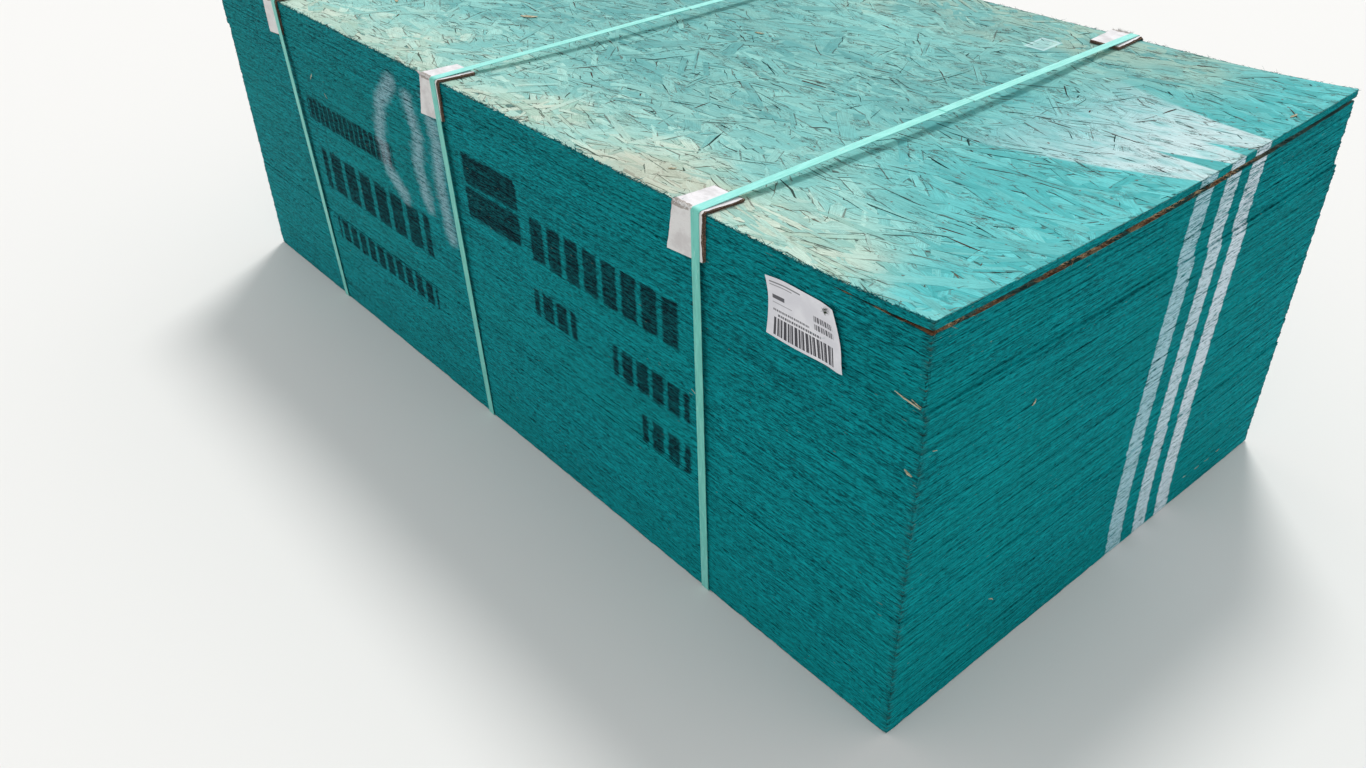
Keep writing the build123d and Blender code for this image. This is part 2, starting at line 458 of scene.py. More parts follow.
# %% Read the sheets from the model
def boards_in(node):
    """The loose sheets of one node, from the ground up."""
    pile = bmesh.new()
    pile.from_mesh(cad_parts[node].data)
    bmesh.ops.remove_doubles(pile, verts=pile.verts, dist=0.02 * MM)
    unseen, found = set(pile.verts), []
    while unseen:
        edge_of_search = [unseen.pop()]
        board = []
        while edge_of_search:
            point = edge_of_search.pop()
            board.append(point.co[:])
            for side in point.link_edges:
                other = side.other_vert(point)
                if other in unseen:
                    unseen.remove(other)
                    edge_of_search.append(other)
        board = np.array(board)
        low, high = board.min(0), board.max(0)
        rim = board[np.abs(board[:, 1] - low[1]) < MM / 10][:, 2]
        found.append({
            "x": (low[0], high[0]), "y": (low[1], high[1]), "rim": (rim.min(), rim.max()),
            "sag": max(0.0, rim.min() - low[2])})
    pile.free()
    return sorted(found, key=lambda board: board["rim"][0])


def settled(boards):
    """Half of each sheet's slip taken out, for the ragged rim that follows adds its own."""
    for way in ("x", "y"):
        mean = np.mean([board[way] for board in boards], 0)
        for board in boards:
            board[way] = tuple((np.array(board[way]) + mean) / 2)
    return boards


lifts = {name: settled(boards_in(name)) for name in ("lower_panels", "middle_panels", "upper_panels")}
for name, boards in lifts.items():
    print(name, len(boards), "sheets, sag", [round(b["sag"] / MM, 1) for b in (boards[0], boards[-1])], "mm")

# %% [markdown]
# The rim is a closed loop of columns round the sheet. They stand closer at the corners, which are
# crushed, and otherwise 15 to 17 mm apart, with some unevenness so that no grid shows.
# `uneven_line` gives the chewing: random heights smoothed over a few columns. All chance comes
# from one generator with a fixed seed, so every run gives the same stack.

# %% Walk round a rim
rng = np.random.default_rng(1907)
side_column_step = 17 * MM
end_column_step = 15 * MM
corner_columns = np.array([3.0, 8.0]) * MM


def uneven_line(count, reach, draw):
    """Random heights along a closed loop, smooth over a reach of columns, spread about 1."""
    raw = draw.normal(size=count)
    if reach > 1:
        weights = np.hanning(reach + 2)[1:-1]
        raw = np.convolve(np.tile(raw, 3), weights, "same")[count:2 * count]
    return raw / raw.std()


def columns_between(start, end, step, draw):
    count = int(round((end - start) / step))
    line = np.linspace(start, end, count + 1)[1:-1]
    line = line + draw.uniform(-0.3, 0.3, len(line)) * step
    return np.concatenate([[start], start + corner_columns, line, end - corner_columns[::-1], [end]])


def rim_columns(board, draw):
    """Places and outward directions of the columns, anticlockwise from the left front corner."""
    xs = columns_between(*board["x"], side_column_step, draw)
    ys = columns_between(*board["y"], end_column_step, draw)
    front = [(x, ys[0]) for x in xs]
    near = [(xs[-1], y) for y in ys[1:]]
    back = [(x, ys[-1]) for x in xs[-2::-1]]
    far = [(xs[0], y) for y in ys[-2:0:-1]]
    places = np.array(front + near + back + far)
    outward = np.zeros_like(places)
    for way, line in ((0, xs), (1, ys)):
        outward[:, way] -= np.isclose(places[:, way], line[0])
        outward[:, way] += np.isclose(places[:, way], line[-1])
    return places, outward, len(xs), len(ys)


# %% [markdown]
# The long side has a few plain strokes of chalk, drawn by hand. Each is a chain of points, and how
# near a point of the rim is to that chain says how much chalk lies there. The chalk is stored on
# the mesh, because a network of nodes would need a dozen nodes for every piece of a stroke.

# %% Draw the chalk
chalk_strokes = [
    [(956, 62), (884, 126), (852, 208), (866, 292), (930, 340)],
    [(1022, 84), (1040, 160), (1022, 236), (1044, 322)],
    [(1116, 60), (1124, 150), (1112, 250), (1130, 372)],
]
chalk_reach = 17
print("chalk:", len(chalk_strokes), "strokes")


def chalk_marks(x, z):
    """How much chalk lies on the long side there: a few hand-drawn strokes, in millimetres."""
    across, down = (x - from_left(0)) / MM, (stack_top - z) / MM
    marks = np.zeros_like(x)
    for stroke in chalk_strokes:
        for (x0, z0), (x1, z1) in zip(stroke, stroke[1:]):
            run_x, run_z = x1 - x0, z1 - z0
            share = ((across - x0) * run_x + (down - z0) * run_z) / (run_x ** 2 + run_z ** 2)
            share = np.clip(share, 0, 1)
            off = np.hypot(across - x0 - share * run_x, down - z0 - share * run_z)
            marks = np.maximum(marks, np.clip(1.7 - off / chalk_reach, 0, 1))
    return marks


# %% [markdown]
# Each sheet becomes one closed board: the band of rows round the rim, and a face on each side.
# A hidden face is made of long strips from end to end, which follow the sag with few points.
# Values that the paint needs are collected with the points: how deep a point lies, whether it is
# at a broken corner, the tone of the sheet, how far its stripes have slipped and where chalk was
# drawn across it.

# %% Close the faces of a board
row_heights = np.array([0.0, 0.14, 0.38, 0.64, 0.87, 1.0])
top_row = len(row_heights) - 1
PAINTED, BARE, WORN = 0, 1, 2       # the order of the finishes on every board


def sagging(board, edge):
    """Height of a board's lower or upper face, which hangs in an arc between its two long sides."""
    half = (board["y"][1] - board["y"][0]) / 2
    middle = (board["y"][1] + board["y"][0]) / 2

    def height(x, y):
        return board["rim"][edge] - board["sag"] * (1 - ((y - middle) / half) ** 2)
    return height


def face_inside_rim(points, nx, ny, first, height, fine):
    """Cells of the face inside a loop of nx by ny columns whose points start at first."""
    loop = first + np.arange(2 * (nx + ny) - 4)
    at = np.zeros((nx, ny), int)
    at[:, 0], at[-1, 1:] = loop[:nx], loop[nx:nx + ny - 1]
    at[-2::-1, -1], at[0, -2:0:-1] = loop[nx + ny - 1:2 * nx + ny - 2], loop[2 * nx + ny - 2:]
    if fine:
        x, y = (line.ravel() for line in np.meshgrid(*fine, indexing="ij"))
        at[1:-1, 1:-1] = sum(len(some) for some in points) + np.arange(len(x)).reshape(nx - 2, ny - 2)
        points.append(np.column_stack([x, y, height(x, y)]))
        return np.stack([at[:-1, :-1], at[1:, :-1], at[1:, 1:], at[:-1, 1:]], -1).reshape(-1, 4).tolist()
    at = at.tolist()
    strips = [[at[0][j], at[-1][j], at[-1][j + 1], at[0][j + 1]] for j in range(1, ny - 2)]
    front_strip = [column[0] for column in at] + [at[-1][1], at[0][1]]
    back_strip = [at[0][-2], at[-1][-2]] + [column[-1] for column in at[::-1]]
    return [front_strip, *strips, back_strip]


# %% [markdown]
# Tearing the rim: every row of points gets a depth from three kinds of chance. Smooth unevenness
# runs along the sheet, a finer one lies over it, and in a few columns a whole strand is missing.

# %% Tear the rim of a board
def torn_board(
        board, draw, rough=1.0, under=None, over=None, fine=False, open_seam=None,
        faced=(PAINTED, PAINTED)):
    """Points, faces and paint values of one sheet with a chewed rim.

    rough: how badly it is chewed. under, over: heights of its faces. fine: the faces get a grid
    of points. open_seam: a row of the rim and how much deeper it lies. faced: finish of each face.
    """
    under = under or sagging(board, 0)
    over = over or sagging(board, 1)
    places, outward, nx, ny = rim_columns(board, draw)
    count = len(places)
    corner = (np.abs(outward).sum(1) > 1.5).astype(float)
    at_corner = corner.copy()
    for shift, share in ((1, 0.8), (-1, 0.8), (2, 0.4), (-2, 0.4)):
        at_corner = np.maximum(at_corner, share * np.roll(corner, shift))
    low_face, high_face = under(*places.T), over(*places.T)
    points, deep = [], []
    for row, height in enumerate(row_heights):
        arris = row in (0, top_row)
        mean, spread, torn_share = (0.38, 0.22, 0.05) if arris else (0.34, 0.13, 0.018)
        dent = mean + spread * uneven_line(count, 3, draw)
        dent = dent + 0.16 * uneven_line(count, 1, draw)
        torn_out = draw.random(count) < torn_share
        dent = dent + torn_out * draw.uniform(0.5, 1.8, count)
        dent = rough * np.clip(dent, 0.05, 3.4) + at_corner * draw.uniform(0.1, 1.1, count)
        if open_seam is not None and row == open_seam[0]:
            dent = dent + open_seam[1](*places.T)
        chewed = (0.20 if row == 0 else -0.20 if arris else 0) * MM * (draw.random(count) - 0.35)
        place = places - outward * dent[:, None] * MM
        points.append(np.column_stack([place, low_face + height * (high_face - low_face) + chewed]))
        deep.append(np.clip((dent - 0.45) / 1.9, 0, 1))
    here = np.arange(count)
    there = np.roll(here, -1)
    faces = []
    for row in range(top_row):
        low, high = row * count, (row + 1) * count
        faces += np.column_stack([low + here, low + there, high + there, high + here]).tolist()
    finish_of = [PAINTED] * len(faces)
    grid = (places[1:nx - 1, 0], places[nx:nx + ny - 2, 1]) if fine else None
    for first, height, finish in ((0, under, faced[0]), (top_row * count, over, faced[1])):
        cells = face_inside_rim(points, nx, ny, first, height, grid)
        faces += [cell[::-1] for cell in cells] if first == 0 else cells
        finish_of += [finish] * len(cells)
    points = np.concatenate(points)
    total = len(points)
    inside = total - count * len(row_heights)
    values = {
        # The faces inside the rim count as fully deep, so where they take the edge paint they get its painted
        # seam shade.
        "recess": np.concatenate([*deep, np.ones(inside)]),
        "broken": np.concatenate([np.tile(at_corner, len(row_heights)), np.zeros(inside)]),
        "tone": np.full(total, draw.random()),
        "slip": np.full(total, draw.normal() * 0.25 * MM),
        "chalk": np.where(points[:, 1] < -0.55, chalk_marks(points[:, 0], points[:, 2]), 0.0),
    }
    return points, faces, finish_of, values


# %% [markdown]
# Many boards make one Blender object. The points are joined, the numbers in the faces are moved
# on, and the values are stored as attributes that the finishes read with `kept`.

# %% Make one object from many parts
def piece_from(name, parts, finishes, body="root"):
    """One Blender object from several sets of points, faces, finishes and values."""
    points, faces, finish_of, start = [], [], [], 0
    shapes = {key: value.shape[1:] for part in parts for key, value in part[3].items()}
    values = {key: [] for key in shapes}
    for some_points, some_faces, some_finish, some_values in parts:
        points.append(some_points)
        faces += [tuple(start + corner for corner in face) for face in some_faces]
        finish_of += some_finish
        for key, shape in shapes.items():
            values[key].append(some_values.get(key, np.zeros((len(some_points), *shape))))
        start += len(some_points)
    mesh = bpy.data.meshes.new(name)
    mesh.from_pydata(np.concatenate(points).tolist(), [], faces)
    for finish in finishes:
        mesh.materials.append(finish)
    mesh.polygons.foreach_set("material_index", finish_of)
    for key, value in values.items():
        value = np.concatenate(value)
        kind, field = ("FLOAT_VECTOR", "vector") if value.ndim == 2 else ("FLOAT", "value")
        stored = mesh.attributes.new(key, kind, "POINT")
        stored.data.foreach_set(field, value.astype(np.float32).ravel())
    mesh.validate()
    made = put_in_scene(name, mesh)
    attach(made, body)
    triangles = sum(len(p.vertices) - 2 for p in mesh.polygons)
    print(f"{name}: {len(mesh.vertices)} points, {triangles} triangles")
    return made


# %% [markdown]
# Now the three lifts are laid up. The sheets where two lifts meet were knocked about more, and so
# was the whole upper lift. The seam under the second sheet from above stands open on the near
# end: the two rows of points beside it lie deeper there.

# %% Lay up the three lifts
def yawning(x, y):
    """How much deeper the open seam is: most in the middle of the near end."""
    return 2.6 * (x > 1.2) * np.clip((0.50 - np.abs(y + 0.03)) / 0.15, 0, 1)


for name, boards in lifts.items():
    parts = []
    top_lift = name == "upper_panels"
    for number, board in enumerate(boards):
        on_ground = board["rim"][0] < 2 * MM
        uppermost = top_lift and number == len(boards) - 1
        faced = (BARE if on_ground else PAINTED, BARE if uppermost else PAINTED)
        row_at_seam = {1: 0, 2: top_row}.get(len(boards) - number) if top_lift else None
        seam = None if row_at_seam is None else (row_at_seam, yawning)
        rough = 1.6 if number in (0, len(boards) - 1) or top_lift else 1.0
        parts.append(torn_board(board, rng, rough, open_seam=seam, faced=faced))
    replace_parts(piece_from(name.replace("panels", "sheets"), parts, (edge_paint, bare_board)), name)

# %% [markdown]
# ## The top sheet
#
# The top sheet follows the dished pile and curls up at its near end. Its shape is felt from the
# model by dropping a line at many places, which is what `ray_cast` does, and a table of those
# heights then gives the height anywhere between them. Long soft waves are added: a sheet that has
# been wet is never quite even.

# %% Feel the top sheet
top_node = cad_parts["top_panel"].data
felt = BVHTree.FromPolygons([v.co[:] for v in top_node.vertices], [p.vertices[:] for p in top_node.polygons])
top_low, top_high = (np.array(corner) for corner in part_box("top_panel"))


def felt_face(start_height, direction):
    """Height of the model's top sheet as a function of place, felt from above or below."""
    xs = np.linspace(top_low[0] + MM, top_high[0] - MM, 140)
    ys = np.linspace(top_low[1] + MM, top_high[1] - MM, 62)
    down_or_up = (0, 0, direction)
    table = np.array([[felt.ray_cast((x, y, start_height), down_or_up)[0][2] for y in ys] for x in xs])

    def height(x, y):
        across = np.clip((x - xs[0]) / (xs[1] - xs[0]), 0, len(xs) - 1.001)
        along = np.clip((y - ys[0]) / (ys[1] - ys[0]), 0, len(ys) - 1.001)
        i, j = across.astype(int), along.astype(int)
        u, v = across - i, along - j
        near = table[i, j] * (1 - v) + table[i, j + 1] * v
        far = table[i + 1, j] * (1 - v) + table[i + 1, j + 1] * v
        return near * (1 - u) + far * u
    return height


felt_over = felt_face(1.0, -1)
felt_under = felt_face(0.5, 1)


def waves(x, y):
    along = np.sin(x / 0.071 + 2.0 * np.sin(y / 0.19))
    across = np.sin(y / 0.053 + 1.5 * np.sin(x / 0.23))
    return 0.35 * MM * (along + across)


def top_face(x, y):
    """The level of the pressed face, just under the model's; the waves die out at its edges."""
    inside = np.minimum(x - top_low[0], top_high[0] - x)
    inside = np.clip(np.minimum(inside, np.minimum(y - top_low[1], top_high[1] - y)) / 0.03, 0, 1)
    return felt_over(x, y) + waves(x, y) * inside - 0.3 * MM


rim_heights = felt_over(np.array([-1.2, 0.9, 1.21]), np.full(3, -0.6)) / MM
print("top sheet: rim", rim_heights.round(1).tolist(), "mm")

# %% [markdown]
# ## The weathered top
#
# The face of the top sheet is pressed from thousands of flat strands, most of them lying roughly
# along the sheet. Spray drifted over it and rain has worn it: full turquoise near the painted
# end, grey green in the middle, cream along the near long side, with cracks beside the strands
# painted dark brown and teal as the shade in their gaps. White drifted in from the three stripes
# in fans.
#
# Each strand carries its own place on the mesh: how far along it and across it a point lies, and
# one random number, its luck. So the grain follows each strand, the tint changes from strand to
# strand and a crack can run beside one edge only.

# %% Mix the weathered face
top_end, top_front, top_back = (float(v) for v in (top_high[0], top_low[1], top_high[1]))
worn = Finish("weathered face", 0.8, 0.22)
along, across, luck = worn.split(worn.kept("strand", "Vector"))
half_width = worn.kept("half_width")
luck_2 = (luck * 17.3).math("FRACT")
luck_3 = (luck * 71.9).math("FRACT")
to_end = top_end - worn.x
to_front = worn.y - top_front
drift = (worn.grain((230, 150, 900), shift=4.0) - 0.5) * 0.55
cloud = worn.grain((520, 260, 900), shift=8.0)
lengthwise = worn.grain((240, 34, 900), shift=6.0)

middle_tone = worn.mix(cloud.step(0.38, 0.62), (0.116, 0.388, 0.388), (0.200, 0.545, 0.528))
middle_tone = worn.mix(lengthwise.step(0.42, 0.66, 0, 0.55), middle_tone, (0.278, 0.535, 0.478))
strand_tint = worn.mix(luck, (0.080, 0.315, 0.320), (0.285, 0.635, 0.592))
face = worn.mix(luck_2.step(0.10, 0.85, 0.15, 0.80), middle_tone, strand_tint)

from_front = to_front + drift
paler = from_front.step(0.46, 0.06) * luck_2.step(0.1, 0.7, 0.30, 0.85)
face = worn.mix(paler, face, worn.mix(luck, (0.285, 0.62, 0.575), (0.46, 0.75, 0.67)))
creamy = from_front.step(0.21, 0.02) * luck_3.step(0.0, 0.6, 0.35, 0.92)
face = worn.mix(creamy, face, worn.mix(luck, (0.36, 0.55, 0.45), (0.60, 0.71, 0.60)))
far_cream = from_front.step(0.98, 1.16) * luck_3.step(0.2, 0.8, 0.1, 0.6)
face = worn.mix(far_cream, face, (0.42, 0.55, 0.44))

spray_reach = to_front.step(0.05, 0.45, 0.15, 0.46) - to_front.step(0.75, 1.10, 0.0, 0.22)
sprayed = ((to_end + drift * 0.35) / spray_reach).step(1.45, 0.30)
turquoise = worn.mix(luck_2, (0.050, 0.395, 0.410), (0.130, 0.580, 0.595))
face = worn.mix(sprayed * luck_3.step(0.0, 0.5, 0.75, 1.0), face, turquoise)
print("tones of the face:", len(worn.nodes), "nodes so far")

# %% [markdown]
# The white fans: each starts as wide as its stripe at the end of the sheet, opens as it goes
# inward and fades. Where two fans meet they make one haze.

# %% Drift the white fans
fade = (to_end + drift * 0.3).step(0.47, 0.07)
fans = None
# Millimetres from the front corner, width, how much it opens and where it aims
for centre, width, opens, aim in ((689, 56, 0.23, -0.05), (783, 46, 0.20, 0.03), (868, 54, 0.26, 0.03)):
    off_line = abs(worn.y - (front_y + centre * MM) - to_end * aim)
    fan = (off_line / (to_end * opens + width / 2 * MM)).step(1.06, 0.90) * fade
    fans = fan if fans is None else fans.math("MAXIMUM", fan)
haze = worn.grain((60, 26, 900), shift=13.0).step(0.25, 0.60, 0.45, 0.90)
face = worn.mix(fans * haze, face, (0.60, 0.76, 0.78))
print("with the fans:", len(worn.nodes), "nodes so far")

# %% [markdown]
# Two kinds of dark lines cross the face, gaps painted dark as shade with some brown wood in them.
# One runs beside a strand. The other is crooked: it is the line where a noise passes through its
# middle value, kept only in some regions. The hollows between the strands are painted darker too,
# as shade.

# %% Add grain and cracks
place_on_strand = worn.node("ShaderNodeCombineXYZ", along, across, luck * 3.0)
wood_grain = worn.grain((34, 1.5, 900), place=place_on_strand)
fine_grain = worn.grain((9, 2.2, 9), detail=2, shift=3.3)
shade = wood_grain.step(0.30, 0.70, 0.80, 1.10) * fine_grain.step(0.3, 0.7, 0.93, 1.05)
face = worn.mix(1.0, face, worn.node("ShaderNodeCombineColor", shade, shade, shade), "MULTIPLY")

to_side = half_width - across * (luck_2 - 0.5).math("SIGN")
uneven = worn.grain((30, 30, 900), detail=2, place=place_on_strand, shift=2.0)
# Painted shade: a dark line beside one edge of a strand, teal or brown, for the gap there.
shaded_crack = (to_side - uneven.step(0.38, 0.64, 0, 3.2) * MM).step(0.0003, -0.0005)
shaded_crack = shaded_crack * luck_3.step(0.20, 0.42) * (to_end + drift).step(-0.02, 0.22, 0.60, 1.0)
face = worn.mix(shaded_crack * 0.7, face, worn.mix(luck, (0.030, 0.060, 0.055), (0.085, 0.062, 0.048)))

# Painted shade: crooked dark lines for fissures in the face, teal or brown.
from_line = abs(worn.grain((58, 11, 900), detail=4, rough=0.7, shift=31.0, bend=0.5) - 0.5)
fissured = worn.grain((90, 46, 900), shift=35.0).step(0.50, 0.60)
fissure_shade = from_line.step(0.028, 0.008) * fissured * to_front.step(0.10, 0.26, 0.40, 0.75)
face = worn.mix(fissure_shade, face, worn.mix(luck_2, (0.030, 0.075, 0.070), (0.080, 0.052, 0.040)))

# Painted shade: the face that shows between the strands is darker, as it lies lower.
shade_between_strands = half_width.step(0.0005, 0.0)
hollow_shade = worn.grain((30, 7, 900), shift=9.5).step(0.40, 0.60, 0.25, 0.85)
face = worn.mix(shade_between_strands * hollow_shade, face, (0.045, 0.085, 0.072))
print("with grain and cracks:", len(worn.nodes), "nodes so far")

# %% [markdown]
# Last come the marks of use: a pale stain and some brown spots, the rims of the two long sides,
# which are wrapped in the teal of the side, and the mark of a piece of tape near the back.

# %% Add the stain, the wrapped rims and the tape mark
from_stain = worn.vector("SUBTRACT", worn.place, (0.58, -0.57, 0.8))
from_stain = worn.vector("LENGTH", worn.vector("MULTIPLY", from_stain, (6.0, 17.0, 0.0)))
stain = (from_stain + drift * 4.0).step(1.3, 0.3, 0, 0.55)
face = worn.mix(stain, face, worn.mix(luck_2, (0.36, 0.38, 0.29), (0.58, 0.56, 0.46)))
spots = worn.grain((13, 8, 900), detail=2, shift=23.0).step(0.68, 0.74, 0, 0.85)
face = worn.mix(spots, face, (0.120, 0.062, 0.045))

ragged = worn.grain((13, 13, 900), shift=15.0) * 0.020
to_long_side = to_front.math("MINIMUM", top_back - worn.y)
wrapped = (to_long_side + 0.0075 - ragged).step(0.0007, -0.0007)
flaked = worn.grain((11, 11, 900), detail=2, shift=27.0).step(0.60, 0.68)
face = worn.mix(wrapped, face, worn.mix(flaked, (0.003, 0.140, 0.155), (0.62, 0.74, 0.70)))

from_tape = worn.vector("ABSOLUTE", worn.vector("SUBTRACT", worn.place, (0.637, 0.458, 0)))
tape_x, tape_y, _ = worn.split(worn.vector("SUBTRACT", from_tape, (0.026, 0.034, 1)))
off_tape = tape_x.math("MAXIMUM", tape_y)
tape = off_tape.step(0.001, -0.001, 0, 0.28) + abs(off_tape + 0.004).step(0.0045, 0.001, 0, 0.35)
face = worn.mix(tape, face, (0.62, 0.86, 0.88))
weathered_face = worn.done(face, worn.relief(wood_grain, 0.35, 0.5))
print("weathered face:", len(worn.nodes), "nodes")

# %% [markdown]
# The top sheet is torn like all others, but its faces follow the felt heights instead of an even
# arc, and its upper side gets the weathered face. The strands will lie on it.

# %% Build the top sheet
top_board = {"x": (top_low[0], top_high[0]), "y": (top_low[1], top_high[1]), "rim": (0, 0), "sag": 0}
top_part = torn_board(
    top_board, rng, 1.0, felt_under, lambda x, y: top_face(x, y) - 0.35 * MM, True, faced=(BARE, WORN))
top_sheet = piece_from("top_sheet", [top_part], (edge_paint, bare_board, weathered_face))
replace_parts(top_sheet, "top_panel")

# %% [markdown]
# ## The strands
#
# A strand is a flat sliver, 4 to 15 cm long, cut with the grain: its sides are straight and its
# ends are split to points. It is made here as an eight-cornered plate with a thickness, bedded
# into the face at a level of its own, so the ones on top show their edges. All strands of one
# piece are worked out at once with numpy, since a loop in Python over a hundred thousand points
# would be slow.

# %% Shape the strands
outline_along = np.array([-0.40, 0.40, 0.50, 0.50, 0.40, -0.40, -0.50, -0.50])
outline_across = np.array([-1, -1, -0.35, 0.30, 1, 1, 0.40, -0.25])
corners_of_strand = len(outline_along)
split_end = np.isin(np.arange(corners_of_strand), (2, 3, 6, 7))
strand_thick = 0.7 * MM


def uneven_sizes(typical, spread, smallest, largest, count, draw):
    """Sizes in millimetres, most of them near the typical one and a few much larger."""
    return np.clip(np.exp(draw.normal(math.log(typical), spread, count)), smallest, largest)


def repeated(faces, times, points_each):
    """The same faces for every copy of a shape whose points follow each other."""
    starts = range(0, times * points_each, points_each)
    return [tuple(start + corner for corner in face) for start in starts for face in faces]


def strands(count, area, draw, surface):
    """Many bedded strands as points, faces and values, and their cracks; area is (x0, x1, y0, y1)."""
    x0, x1, y0, y1 = area
    n = corners_of_strand
    length = uneven_sizes(92, 0.42, 20, 175, count, draw) * MM
    width = uneven_sizes(15, 0.50, 3.5, 40, count, draw) * MM
    width = np.minimum(width, length * 0.6)
    angle = np.radians(draw.normal(0, 24, count))
    stray = draw.random(count) < 0.20
    angle[stray] = np.radians(draw.uniform(-85, 85, stray.sum()))
    u = outline_along * length[:, None] * (1 + split_end * draw.uniform(-0.16, 0.16, (count, n)))
    v = outline_across * width[:, None] / 2 + draw.normal(0, 0.35 * MM, (count, n))
    v = v + (u / length[:, None]) * width[:, None] * draw.uniform(-0.18, 0.18, (count, 1))
    columns = int(math.sqrt(count * (x1 - x0) / (y1 - y0) / 2.2))
    rows = -(-count // columns)
    number = draw.permutation(rows * columns)[:count]
    cx = x0 + (number % columns + draw.uniform(-0.1, 1.1, count)) / columns * (x1 - x0)
    cy = y0 + (number // columns + draw.uniform(-0.1, 1.1, count)) / rows * (y1 - y0)
    cosine, sine = np.cos(angle)[:, None], np.sin(angle)[:, None]
    x = np.clip(cx[:, None] + u * cosine - v * sine, x0, x1)
    y = np.clip(cy[:, None] + u * sine + v * cosine, y0, y1)
    level = draw.uniform(-0.25, 0.42, (count, 1)) * MM
    level = level + (u / length[:, None]) * draw.normal(0, 0.22, (count, 1)) * MM
    z = surface(x, y) + level
    top = np.stack([x, y, z], -1)
    bottom = np.stack([x, y, z - strand_thick], -1)
    points = np.concatenate([top, bottom], 1).reshape(-1, 3)
    walls = [(i, n + i, n + (i + 1) % n, (i + 1) % n) for i in range(n)]
    faces = repeated([tuple(range(n)), tuple(range(2 * n - 1, n - 1, -1)), *walls], count, 2 * n)
    own = np.stack([u, v, draw.random((count, 1)) * np.ones((1, n))], -1)
    values = {
        "strand": np.concatenate([own, own], 1).reshape(-1, 3),
        "half_width": np.repeat(width / 2, 2 * n)}
    return (points, faces, [0] * len(faces), values), cracks_beside(top[:, :2], draw)


# %% [markdown]
# Beside nearly half of the strands the face has opened: a crack follows one long side, crooked
# and tapered at its ends. It is a thin bar coloured dark, painted shade of the gap with brown wood
# in it. Along the near long side it is paler, like the face there.

# %% Open the cracks
cracked_share = 0.46


def cracks_beside(sides, draw):
    """Dark bars along some of the strands' long sides, painted shade of the gaps, each a three-sided bar of four
    stations.
    """
    sides = sides[draw.random(len(sides)) < cracked_share]
    count = len(sides)
    share = np.sort(draw.uniform(0, 1, (count, 4)), 1)
    middle = sides[:, :1] + (sides[:, 1:] - sides[:, :1]) * share[:, :, None]
    middle[:, :, :2] += draw.normal(0, 1.7 * MM, (count, 4, 2))
    run = sides[:, 1] - sides[:, 0]
    across = np.column_stack([-run[:, 1], run[:, 0], np.zeros(count)])
    across = across / (np.linalg.norm(run, axis=1)[:, None] + 1e-9)
    wide = uneven_sizes(0.72, 0.52, 0.25, 2.3, count, draw)[:, None, None] * MM
    reach = across[:, None] * wide * np.array([0.15, 1.0, 0.7, 0.12])[None, :, None]
    lift = np.array([0, 0, 0.16 * MM])
    stations = np.stack([middle - reach + lift, middle + reach + lift, middle - 5 * lift], 2)
    faces = [(0, 2, 1), (9, 10, 11)]
    for here in (0, 3, 6):
        faces += [(here + i, here + (i + 1) % 3, here + 3 + (i + 1) % 3, here + 3 + i) for i in range(3)]
    faces = repeated(faces, count, 12)
    return stations.reshape(-1, 3), faces, [1] * len(faces), {"tone": np.repeat(draw.random(count), 12)}


# Painted shade: the cracks are dark teal or brown, as the shade in the gaps.
gap = Finish("crack shade", 0.95, 0.05)
gap_luck = gap.kept("tone")
gap_shade_colour = gap.mix(gap_luck.step(0.55, 0.75), (0.010, 0.040, 0.040), (0.060, 0.032, 0.024))
pale_crack_shade = gap.mix(gap_luck, (0.100, 0.140, 0.110), (0.230, 0.230, 0.170))
crack_shade_finish = gap.done(gap.mix(gap.y.step(-0.36, -0.52, 0, 0.6), gap_shade_colour, pale_crack_shade))
print("open cracks:", len(gap.nodes), "nodes")

# %% [markdown]
# Blender could scatter the strands with geometry nodes. Here they are laid out in a loose grid,
# one to a cell in a shuffled order, which keeps them even without bare patches. The sheet is
# halved so that no single object grows too heavy.

# %% Scatter the strands
strands_each_half = 4400
margin = 1.6 * MM
left, right = top_low[0] + margin, top_high[0] - margin
sides = (top_low[1] + margin, top_high[1] - margin)
for name, area in (("near_strands", (0.0, right, *sides)), ("far_strands", (left, 0.0, *sides))):
    piece_from(name, strands(strands_each_half, area, rng, top_face), (weathered_face, crack_shade_finish))

# %% [markdown]
# ## Loose fibres
#
# Sawn and weathered edges are hairy: fibres stand off the arrises and lie slanting on the sides.
# Blender's hair could make them, but a thin three-sided spike is plain mesh like all the rest, and
# a few thousand of them cost little. They start just inside the board and are kept within the box
# of the model.

# %% Shape the fibres
box_low, box_high = (np.array(corner) for corner in measured_box)


def kept_inside(points):
    return np.clip(points, box_low + MM / 20, box_high - MM / 20)


def spikes(base, direction, length, thick, draw, finish=0):
    """Tapered slivers: base and direction are rows of x, y, z; length and thick one value a sliver."""
    direction = direction / np.linalg.norm(direction, axis=1)[:, None]
    across = np.cross(direction, draw.normal(size=base.shape))
    across = across / np.linalg.norm(across, axis=1)[:, None]
    other = np.cross(direction, across)
    ring = [
        base + thick[:, None] * (math.cos(angle) * across + math.sin(angle) * other)
        for angle in (0, 2.1, 4.2)]
    points = np.stack([*ring, base + direction * length[:, None]], 1).reshape(-1, 3)
    faces = repeated([(0, 2, 1)] + [(i, (i + 1) % 3, 3) for i in range(3)], len(base), 4)
    return kept_inside(points), faces, [finish] * len(faces), {"tone": np.repeat(draw.random(len(base)), 4)}


